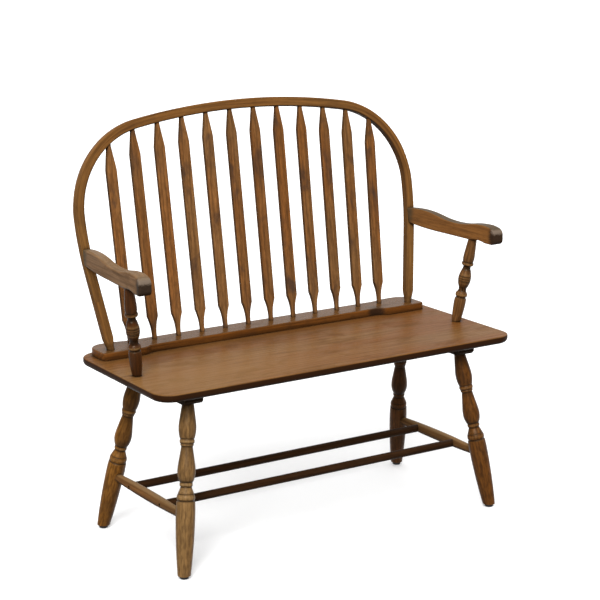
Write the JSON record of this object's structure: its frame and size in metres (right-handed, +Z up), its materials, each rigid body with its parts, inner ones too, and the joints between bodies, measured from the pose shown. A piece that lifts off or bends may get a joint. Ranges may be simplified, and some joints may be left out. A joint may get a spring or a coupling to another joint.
{
  "type": "deacons bench",
  "caption": "Bow-back wooden bench with arrow spindles, shaped arms on turned posts, a board seat, splayed turned legs and stretchers",
  "frame": {"origin": "on the floor, under the middle of the bench's overall width and depth", "axes": "+X to the right as the bench is seen from its front, -Y to the front, +Z up"},
  "size_m": [1.0612, 0.5074, 1.0474],
  "materials": {
    "seat_wood": "stained hardwood board, satin varnish",
    "cleat_wood": "dark stained hardwood, low sheen",
    "rail_wood": "stained hardwood, satin varnish",
    "bow_wood": "bent hardwood, satin varnish",
    "arrow_wood": "stained hardwood, satin varnish",
    "arm_wood": "stained hardwood, satin varnish, worn on top",
    "post_wood": "turned hardwood, satin varnish",
    "leg_wood": "turned hardwood, satin varnish",
    "stretcher_wood": "turned hardwood, satin varnish",
    "glide_plastic": "black moulded glide",
    "screw_steel": "dark plated wood screws"
  },
  "bodies": {
    "root": {"seat": "seat_wood", "seat_cleat_left": "cleat_wood", "seat_cleat_right": "cleat_wood", "back_rail": "rail_wood", "bow": "bow_wood", "arrow_01": "arrow_wood", "arrow_02": "arrow_wood", "arrow_03": "arrow_wood", "arrow_04": "arrow_wood", "arrow_05": "arrow_wood", "arrow_06": "arrow_wood", "arrow_07": "arrow_wood", "arrow_08": "arrow_wood", "arrow_09": "arrow_wood", "arrow_10": "arrow_wood", "arrow_11": "arrow_wood", "arrow_12": "arrow_wood", "arm_left": "arm_wood", "arm_right": "arm_wood", "arm_post_left": "post_wood", "arm_post_right": "post_wood", "leg_front_left": "leg_wood", "leg_front_right": "leg_wood", "leg_back_left": "leg_wood", "leg_back_right": "leg_wood", "side_stretcher_left": "stretcher_wood", "side_stretcher_right": "stretcher_wood", "long_stretcher_front": "stretcher_wood", "long_stretcher_back": "stretcher_wood", "foot_glide_front_left": "glide_plastic", "foot_glide_front_right": "glide_plastic", "foot_glide_back_left": "glide_plastic", "foot_glide_back_right": "glide_plastic", "cleat_screws": "screw_steel", "rail_screws": "screw_steel", "arm_screws": "screw_steel", "stretcher_screws": "screw_steel"}
  },
  "joints": []
}
